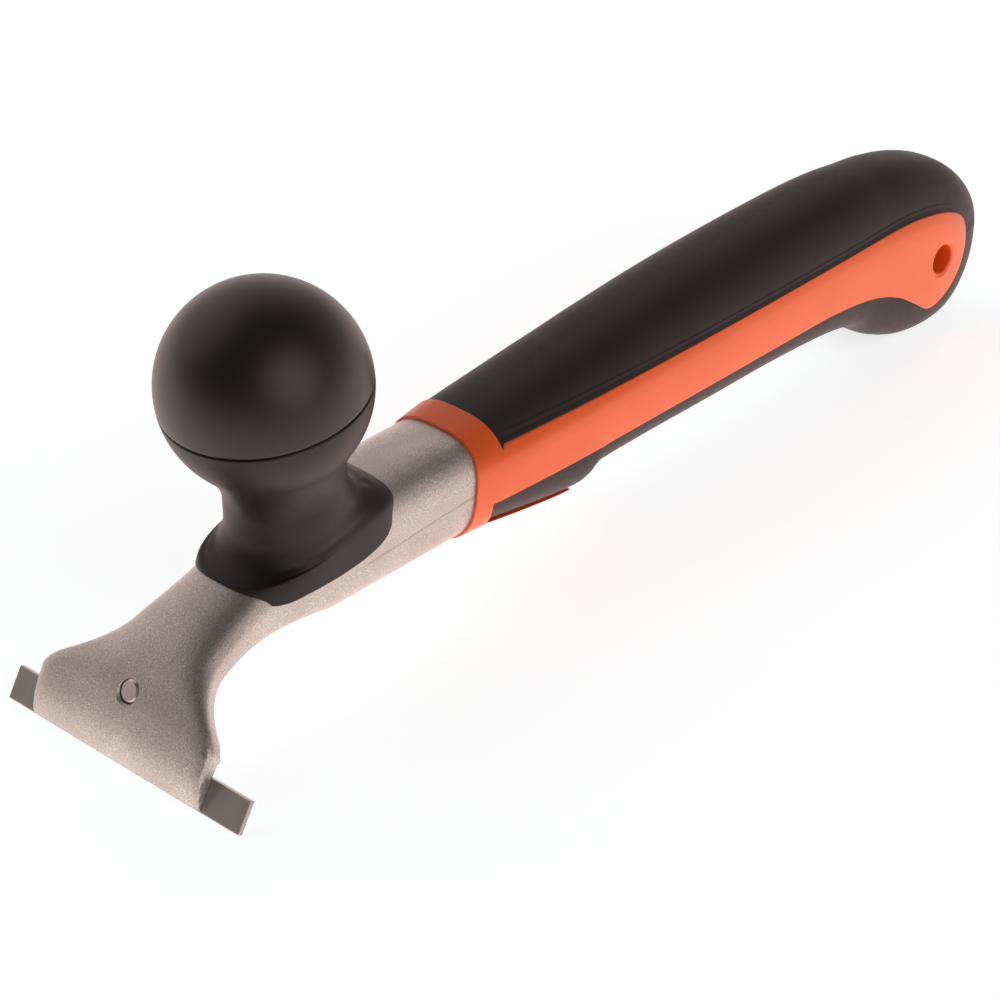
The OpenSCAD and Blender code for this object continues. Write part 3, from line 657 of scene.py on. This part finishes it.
class Finish(Nodes):
    """A principled material with texture coordinates in millimetres of the tool."""

    def __init__(self, name, **values):
        self.material = bpy.data.materials.new(name)
        self.material.use_nodes = True
        super().__init__(self.material.node_tree)
        self.shader = self.tree.nodes["Principled BSDF"]
        for key, value in values.items():
            self.shader.inputs[key.replace("_", " ")].default_value = value
        coords = self.tree.nodes.new("ShaderNodeTexCoord")
        scale = self.tree.nodes.new("ShaderNodeMapping")
        scale.inputs["Scale"].default_value = (1000, 1000, 1000)
        self.tree.links.new(coords.outputs["Object"], scale.inputs["Vector"])
        self.coords = scale.outputs["Vector"]

    def noise(self, size, detail=2.0, rough=0.5):
        """Noise between 0 and 1 with features about size millimetres across."""
        return self.node("ShaderNodeTexNoise", Vector=self.coords, Scale=1 / size, Detail=detail,
                         Roughness=rough).outputs["Fac"]

    def range(self, value, low, high, start=0.0, end=1.0, soft=False):
        """Value from start to end made low to high."""
        made = self.node("ShaderNodeMapRange")
        made.interpolation_type = "SMOOTHSTEP" if soft else "LINEAR"
        self.tree.links.new(value, made.inputs["Value"])
        for key, number in (("From Min", start), ("From Max", end), ("To Min", low), ("To Max", high)):
            made.inputs[key].default_value = number
        return made.outputs["Result"]

    def axes(self):
        split = self.node("ShaderNodeSeparateXYZ", Vector=self.coords)
        return split.outputs["X"], split.outputs["Y"], split.outputs["Z"]

    def off(self, point):
        """Distance in millimetres from a point in the tool frame."""
        return self.vectors("DISTANCE", self.coords, (point[0] - MID, point[1], point[2]))

    def bump(self, height, depth, normal=None):
        """Bump whose heights span depth millimetres."""
        made = self.node("ShaderNodeBump", Height=height, Strength=1.0, Distance=depth * MM)
        if normal is not None:
            self.tree.links.new(normal, made.inputs["Normal"])
        return made.outputs["Normal"]

    def rounded(self, radius):
        """Normal that rounds edges by radius millimetres."""
        made = self.node("ShaderNodeBevel", Radius=radius * MM)
        made.samples = 6
        return made.outputs["Normal"]

    def to(self, key, value):
        self.tree.links.new(value, self.shader.inputs[key])


# the parting line's height at one place along the bar, and its slope
PARTING_X, PARTING_Z, PARTING_SLOPE = 64.7, 23.95, 0.0625
# the sink mark in the saddle's near side
SINK = (61.8, -6.8, 37.9)


def cast_metal():
    """Cast aluminium: grain, uneven tone, and a fine bead on the parting line."""
    f = Finish("cast_alloy", Metallic=0.9, Roughness=0.45)
    grain, fine = f.noise(0.22, 2, 0.7), f.noise(0.42, 3, 0.7)
    mid, broad = f.noise(1.3, 3), f.noise(14, 3)
    tone = f.calc("ADD", f.range(grain, -0.95, 0.95), f.range(broad, -0.2, 0.2))
    f.to("Base Color", f.ramp(f.range(tone, 0, 1, -0.5, 0.5),
                              (0.0, (0.25, 0.255, 0.228)), (0.5, (0.41, 0.42, 0.382)),
                              (0.78, (0.60, 0.60, 0.56)), (1.0, (0.85, 0.85, 0.81))))
    f.to("Roughness", f.range(fine, 0.3, 0.5, 0.3, 0.7))
    x, y, z = f.axes()
    rise = f.calc("MULTIPLY", PARTING_SLOPE, f.calc("ADD", x, MID - PARTING_X))
    line = f.calc("ABSOLUTE", f.calc("SUBTRACT", z, f.calc("ADD", PARTING_Z, rise)))
    bead = f.calc("MULTIPLY", f.range(line, 1, 0, 0.08, 0.3), f.range(x, 0, 1, 50 - MID, 58 - MID))
    relief = f.bump(bead, 0.12, f.rounded(0.28))
    f.to("Normal", f.bump(mid, 0.03, f.bump(fine, 0.085, f.bump(grain, 0.055, relief))))
    return f.material


def knob_plastic(name, rough, gloss):
    f = Finish(name, Specular_IOR_Level=gloss)
    fine, broad = f.noise(0.35, 2), f.noise(9, 3)
    f.to("Base Color", f.ramp(broad, (0.3, (0.0075, 0.0062, 0.006)), (0.7, (0.0095, 0.008, 0.0078))))
    f.to("Roughness", f.range(fine, rough - 0.05, rough + 0.06))
    sink = f.range(f.off(SINK), 0, 1, 0.3, 1.6)
    f.to("Normal", f.bump(fine, 0.006, f.bump(sink, 0.18, f.rounded(0.3))))
    return f.material


# what 1 stands for in the border's ramp, along and up, and how many stops a ramp holds
BORDER_LONG, BORDER_HIGH, MOST_STOPS = 300, 60, 30


def grip_border():
    """Level of the side panel's upper edge against x, as stops of a ramp."""
    rear = panel_rear()
    top = rear[:max(range(len(rear)), key=lambda i: rear[i][0]) + 1]
    stops = [(TOP_GRIP_X + 1, PANEL_HIGH)] + [tuple(p) for p in top[::3]]
    return [(x / BORDER_LONG, z / BORDER_HIGH) for x, z in stops][:MOST_STOPS]


def border_level(f):
    """The shaded point's height, and the level of the side panel's upper edge there."""
    x, y, z = f.axes()
    place = f.calc("DIVIDE", f.calc("ADD", x, MID), BORDER_LONG)
    return z, f.calc("MULTIPLY", f.ramp(place, *grip_border()), BORDER_HIGH)


def orange_plastic():
    """Moulded plastic whose upper edge turns over under the rubber's border."""
    f = Finish("shell_orange", Roughness=0.33, Subsurface_Weight=0.08, Subsurface_Scale=0.002)
    fine, broad = f.noise(0.5, 2), f.noise(12, 2)
    f.to("Base Color", f.ramp(broad, (0.3, (0.74, 0.118, 0.017)), (0.7, (0.78, 0.13, 0.021))))
    f.to("Roughness", f.range(fine, 0.3, 0.42))
    z, edge = border_level(f)
    below = f.calc("SUBTRACT", edge, z)
    slope = f.bump(f.range(below, 0, 1, -4, 5, True), 0.8, f.rounded(0.3))
    brow = f.bump(f.range(below, 0, 1, -2.5, 3, True), 0.5, slope)
    f.to("Normal", f.bump(fine, 0.003, brow))
    return f.material


def black_rubber():
    """Elastomer with a raised border along the side panel."""
    f = Finish("grip_rubber", Specular_IOR_Level=0.3, Sheen_Weight=0.06, Sheen_Roughness=0.45)
    fine, mid, broad = f.noise(0.25, 2), f.noise(1.6, 3), f.noise(16, 3)
    f.to("Base Color", f.ramp(broad, (0.3, (0.0145, 0.0125, 0.0125)), (0.7, (0.019, 0.0165, 0.0165))))
    f.to("Roughness", f.range(mid, 0.5, 0.66))
    z, edge = border_level(f)
    above = f.calc("SUBTRACT", z, edge)
    ridge = f.range(f.calc("ABSOLUTE", f.calc("SUBTRACT", above, 1.5)), 1, 0, 0.1, 0.5)
    relief = f.bump(ridge, 0.12, f.bump(f.range(above, 1, 0, 0, 1.4), 0.5, f.rounded(0.45)))
    f.to("Normal", f.bump(mid, 0.008, f.bump(fine, 0.012, relief)))
    return f.material


def ground_metal():
    f = Finish("carbide_grey", Metallic=0.95, Roughness=0.35)
    fine, broad = f.noise(0.2, 3), f.noise(6, 3)
    f.to("Base Color", f.ramp(broad, (0.25, (0.29, 0.30, 0.285)), (0.75, (0.35, 0.36, 0.34))))
    f.to("Roughness", f.range(fine, 0.28, 0.44))
    f.to("Normal", f.bump(fine, 0.004, f.rounded(0.15)))
    return f.material


def black_steel():
    f = Finish("black_oxide", Metallic=0.8, Roughness=0.42)
    fine, broad = f.noise(0.3, 3), f.noise(4, 2)
    f.to("Base Color", f.ramp(broad, (0.3, (0.045, 0.042, 0.042)), (0.7, (0.075, 0.07, 0.068))))
    f.to("Roughness", f.range(fine, 0.34, 0.52))
    f.to("Normal", f.bump(fine, 0.006, f.rounded(0.15)))
    return f.material


def zinc(name, light):
    """Zinc plating of the given lightness."""
    f = Finish(name, Metallic=1.0, Roughness=0.35)
    fine, broad = f.noise(0.3, 2), f.noise(3, 2)
    f.to("Base Color", f.ramp(broad, (0.3, (0.9 * light, 0.85 * light, 0.83 * light)),
                              (0.7, (1.1 * light, 1.04 * light, 1.02 * light))))
    f.to("Roughness", f.range(fine, 0.28, 0.44))
    f.to("Normal", f.rounded(0.1))
    return f.material


for ob, material in ((casting, cast_metal()), (knob_dome, knob_plastic("knob_black", 0.42, 0.5)),
                     (knob_lower, knob_plastic("saddle_black", 0.48, 0.34)),
                     (shell, orange_plastic()), (grip, black_rubber()), (strip, ground_metal()),
                     (screw, zinc("screw_steel", 0.62))):
    ob.data.materials.clear()
    ob.data.materials.append(material)
plated = zinc("zinc_plate", 0.56)
for name, material in (("clamp_plate", black_steel()), ("knob_screw", plated), ("knob_washer", plated)):
    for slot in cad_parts[name].material_slots:
        slot.material = material

# Floor, light and camera
TARGET = Vector((93.56 - MID, -12.85, 22.01)) * MM
AZIMUTH, ELEVATION, DISTANCE, FOCAL = radians(-47.15), radians(31.97), 0.6891, 3.42
TO_CAMERA = Vector((sin(AZIMUTH) * cos(ELEVATION), -cos(AZIMUTH) * cos(ELEVATION), sin(ELEVATION)))
WARM = (1.0, 0.8, 0.785)


def look_at(ob, place, target):
    ob.location = place
    ob.rotation_euler = (target - place).to_track_quat("-Z", "Y").to_euler()


camera_data = bpy.data.cameras.new("camera")
camera_data.sensor_width = 36
camera_data.lens = 36 * FOCAL
camera = bpy.data.objects.new("camera", camera_data)
bpy.context.scene.collection.objects.link(camera)
look_at(camera, TARGET + DISTANCE * TO_CAMERA, TARGET)
bpy.context.scene.camera = camera


def lamp(name, towards, strength, width):
    """Soft far lamp in the direction towards, width degrees across."""
    data = bpy.data.lights.new(name, "SUN")
    data.energy = strength
    data.color = WARM
    data.angle = radians(width)
    ob = bpy.data.objects.new(name, data)
    bpy.context.scene.collection.objects.link(ob)
    look_at(ob, Vector(towards).normalized(), Vector())


lamp("key", (-0.12, -0.86, 0.49), 1.15, 52)
lamp("back", (0.5, 0.62, 0.5), 0.35, 60)
lamp("top", (-0.25, 0.72, 0.65), 0.45, 50)

world = bpy.data.worlds.new("studio")
bpy.context.scene.world = world
world.use_nodes = True
world.node_tree.nodes.clear()
air = Nodes(world.node_tree)
# bright at the horizon, dim overhead and round the photograph's viewpoint, and white to the camera
sky = air.node("ShaderNodeTexCoord").outputs["Generated"]
height = air.node("ShaderNodeSeparateXYZ", Vector=sky).outputs["Z"]
shades = air.ramp(height, (0.0, 1.3), (0.24, 0.7), (0.48, 0.36), (0.7, 0.32), (1.0, 0.4))
near = air.vectors("DOT_PRODUCT", sky, (-0.622, -0.577, 0.53))
dim = air.ramp(air.calc("MULTIPLY_ADD", near, 0.5, 0.5), (0.3, 1.0), (0.4, 0.9), (0.585, 0.35),
               (0.75, 0.13))
around = air.node("ShaderNodeBackground", Color=(*WARM, 1), Strength=air.calc("MULTIPLY", shades, dim))
seen = air.node("ShaderNodeBackground", Color=(1, 1, 1, 1), Strength=1.0)
air.node("ShaderNodeOutputWorld", Surface=air.by_camera(around.outputs[0], seen.outputs[0]))

bpy.ops.mesh.primitive_plane_add(size=6, location=(0, 0, 0))
floor = bpy.context.object
floor.name = "floor"
paper = bpy.data.materials.new("paper")
paper.use_nodes = True
paper.node_tree.nodes.clear()
ground = Nodes(paper.node_tree)
# the paper lights the tool from below, less so far out towards the photograph's viewpoint
place = ground.node("ShaderNodeTexCoord").outputs["Object"]
side = ground.vectors("DOT_PRODUCT", place, (-0.73, -0.68, 0))
# painted glow: how strongly the paper gives off light of its own, standing in for light bounced up from it
paper_glow = ground.ramp(side, (0.12, 1.0), (0.3, 0.45), (0.55, 0.25))


def paper_shade(colour, glow_colour, strength):
    plain = ground.node("ShaderNodeBsdfDiffuse", Color=colour)
    glow = ground.node("ShaderNodeEmission", Color=glow_colour, Strength=strength)
    both = ground.node("ShaderNodeAddShader")
    ground.put(both.inputs[0], plain.outputs[0])
    ground.put(both.inputs[1], glow.outputs[0])
    return both.outputs[0]


# painted glow: for all rays but the camera's, the paper emits warm light onto the tool, though it is no lamp
lighting = paper_shade((0.85, 0.85, 0.85, 1), (*WARM, 1), ground.calc("MULTIPLY", paper_glow, 1.25))
shown = paper_shade((0.62, 0.8, 0.82, 1), (1, 1, 1, 1), 0.72)
ground.node("ShaderNodeOutputMaterial", Surface=ground.by_camera(lighting, shown))
floor.data.materials.append(paper)

bpy.context.scene.view_settings.view_transform = "Standard"
